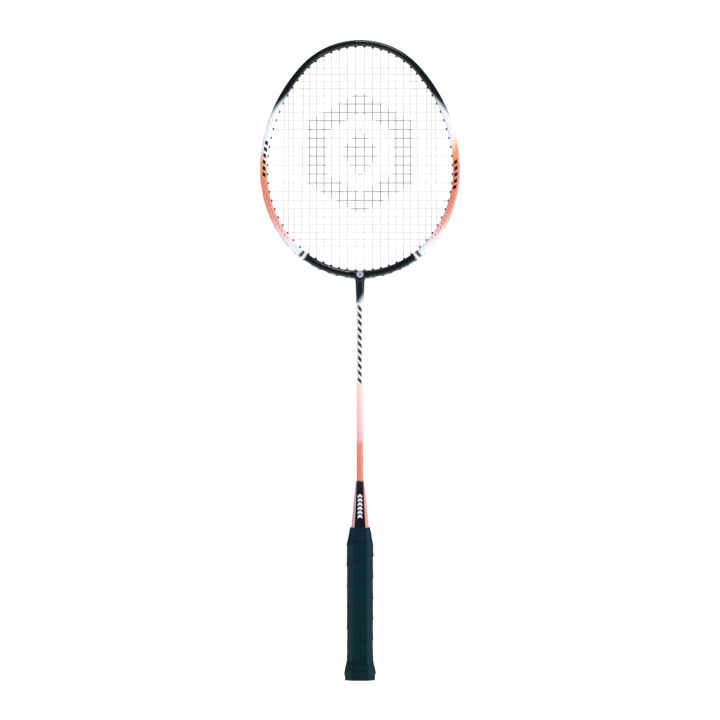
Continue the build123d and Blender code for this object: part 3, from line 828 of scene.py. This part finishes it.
stencil_middle = 0.5560
string_nylon = new_finish("string nylon", 0.35, {"Transmission Weight": 0.15, "IOR": 1.5})
place = object_place(string_nylon)
x, _, z = parts_of(place)
sideways, upwards = abs(x), abs(z - stencil_middle)
hexagon = maths("MAXIMUM", sideways * 1.02, sideways * 0.5 + upwards * 0.866)
lozenge = 1.0 - fade(sideways * 1.2 + upwards, 0.0250, 0.0262)
inked = maths("MAXIMUM", between(hexagon, 0.0370, 0.0560, 0.0006), lozenge)
patchy = fade(grain(place, 700.0), 0.25, 0.5) * 0.98
nylon = layer(grain(place, 300.0), tint(204, 214, 211), tint(228, 235, 232))
finish_with(string_nylon, {
    "Base Color": layer(inked * patchy, nylon, tint(8, 18, 18)),
    "Normal": relief(grain(place, 4000.0), 0.00002),
})

for node, name, along_z, cuts in (
    ("main_string", "main_strings", True, 68),
    ("cross_string", "cross_strings", False, 66),
):
    strings = new_piece(name, woven(node, along_z, cuts))
    strings.data.shade_smooth()
    strings.data.materials.append(string_nylon)
    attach(strings, "root")
    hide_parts(node)

# ---- Knots ---------------------------------------------------------------------------------------
# Each string's two ends are tied off round a run beside them: three tight turns of string.
knot_turns = 3
turn_parts = 18
tight_radius = 0.00029  # of the string, pulled tight
knot_flatness = 0.68


def separate_knots(shape):
    """The corners of each knot in a mesh that holds several."""
    left = list(shape.verts)
    while left:
        knot = left[:1]
        found = set(knot)
        for corner in knot:  # the list grows while it is walked
            for edge in corner.link_edges:
                neighbour = edge.other_vert(corner)
                if neighbour not in found:
                    found.add(neighbour)
                    knot.append(neighbour)
        left = [corner for corner in left if corner not in found]
        yield knot


def flat_length(edge):
    """An edge's length, or 0 if it isn't parallel to the bed."""
    first, second = edge.verts
    return edge.calc_length() if abs(first.co.y - second.co.y) < 1e-5 else 0.0


def add_coil(shape, middle, axis, reach, length):
    """Adds a string wound about an axis, reach away from it, and as long as given."""
    others = set(shape.verts)
    start = Matrix.Translation((0, reach, -length / 2)) @ Matrix.Rotation(pi / 2, 4, "Y")
    ring = bmesh.ops.create_circle(shape, segments=10, radius=tight_radius, matrix=start)["verts"]
    steps = turn_parts * knot_turns
    bmesh.ops.spin(
        shape, geom=ring + edges_of(ring), cent=(0, 0, 0), axis=(0, 0, 1), dvec=(0, 0, length / steps),
        angle=tau * knot_turns, steps=steps,
    )
    coil = [corner for corner in shape.verts if corner not in others]
    bmesh.ops.scale(shape, vec=(knot_flatness, 1.0, 1.0), verts=coil)
    turn = Vector((0, 0, 1)).rotation_difference(axis).to_matrix().to_4x4()
    bmesh.ops.transform(shape, matrix=Matrix.Translation(middle) @ turn, verts=coil)


for node in ("main_knots", "cross_knots"):
    cad_knots = merged_copy(node)
    knots_shape = bmesh.new()
    for knot in separate_knots(cad_knots):
        side_edge = max(edges_of(knot), key=flat_length)
        depths = [corner.co.y for corner in knot]
        add_coil(
            knots_shape,
            middle=sum((corner.co for corner in knot), Vector()) / len(knot),
            axis=(side_edge.verts[0].co - side_edge.verts[1].co).normalized(),
            reach=(max(depths) - min(depths)) / 2 - tight_radius,
            length=side_edge.calc_length() - 2 * tight_radius,
        )
    cad_knots.free()
    bmesh.ops.holes_fill(knots_shape, edges=[edge for edge in knots_shape.edges if edge.is_boundary])
    bmesh.ops.recalc_face_normals(knots_shape, faces=knots_shape.faces)
    knots = new_piece("wound_" + node, knots_shape)
    knots.data.shade_smooth()
    knots.data.materials.append(string_nylon)
    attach(knots, "root")
    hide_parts(node)
